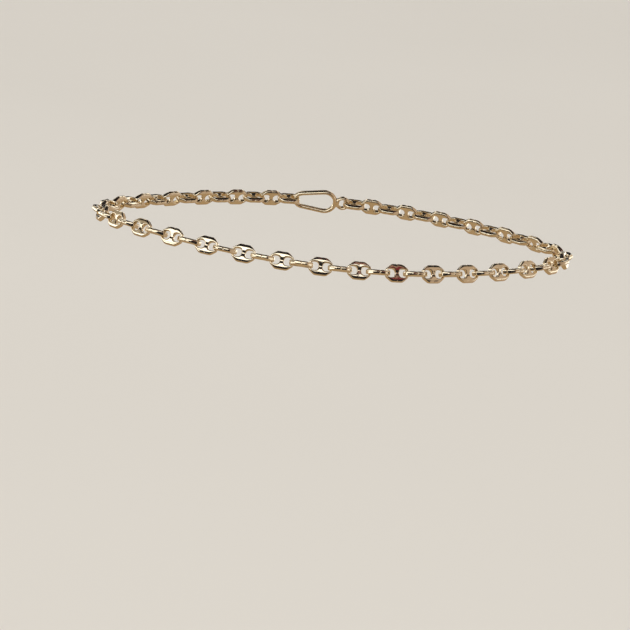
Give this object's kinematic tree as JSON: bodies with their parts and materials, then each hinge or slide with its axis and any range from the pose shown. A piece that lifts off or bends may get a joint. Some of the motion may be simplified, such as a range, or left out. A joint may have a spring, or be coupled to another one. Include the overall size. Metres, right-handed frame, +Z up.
{
  "type": "chain anklet",
  "caption": "Slim closed chain of flat two-hole links, each turned a quarter turn from the next, in the oval form it takes round an ankle.",
  "frame": {"origin": "middle of the opening that the ankle passes through, in the chain's mean plane", "axes": "+Z up the leg, square to the chain's mean plane; +X towards the heel, the oval's long way; -Y towards the outer side of the ankle, the side that faces the viewer"},
  "size_m": [0.1054, 0.0655, 0.006],
  "materials": {
    "gold_polished": "high polish, pale gold tone"
  },
  "bodies": {
    "root": {"link_01": "gold_polished", "link_02": "gold_polished", "link_03": "gold_polished", "link_04": "gold_polished", "link_05": "gold_polished", "link_06": "gold_polished", "link_07": "gold_polished", "link_08": "gold_polished", "link_09": "gold_polished", "link_10": "gold_polished", "link_11": "gold_polished", "link_12": "gold_polished", "link_13": "gold_polished", "link_14": "gold_polished", "link_15": "gold_polished", "link_16": "gold_polished", "link_17": "gold_polished", "link_18": "gold_polished", "link_19": "gold_polished", "link_20": "gold_polished", "link_21": "gold_polished", "link_22": "gold_polished", "link_23": "gold_polished", "link_24": "gold_polished", "link_25": "gold_polished", "link_26": "gold_polished", "link_27": "gold_polished", "link_28": "gold_polished", "link_29": "gold_polished", "link_30": "gold_polished", "link_31": "gold_polished", "link_32": "gold_polished", "link_33": "gold_polished", "link_34": "gold_polished", "link_35": "gold_polished", "link_36": "gold_polished", "link_37": "gold_polished", "link_38": "gold_polished", "link_39": "gold_polished", "link_40": "gold_polished", "link_41": "gold_polished", "back_run_1": "gold_polished", "back_run_2": "gold_polished", "back_run_3": "gold_polished", "back_run_4": "gold_polished", "clasp": "gold_polished"}
  },
  "joints": []
}
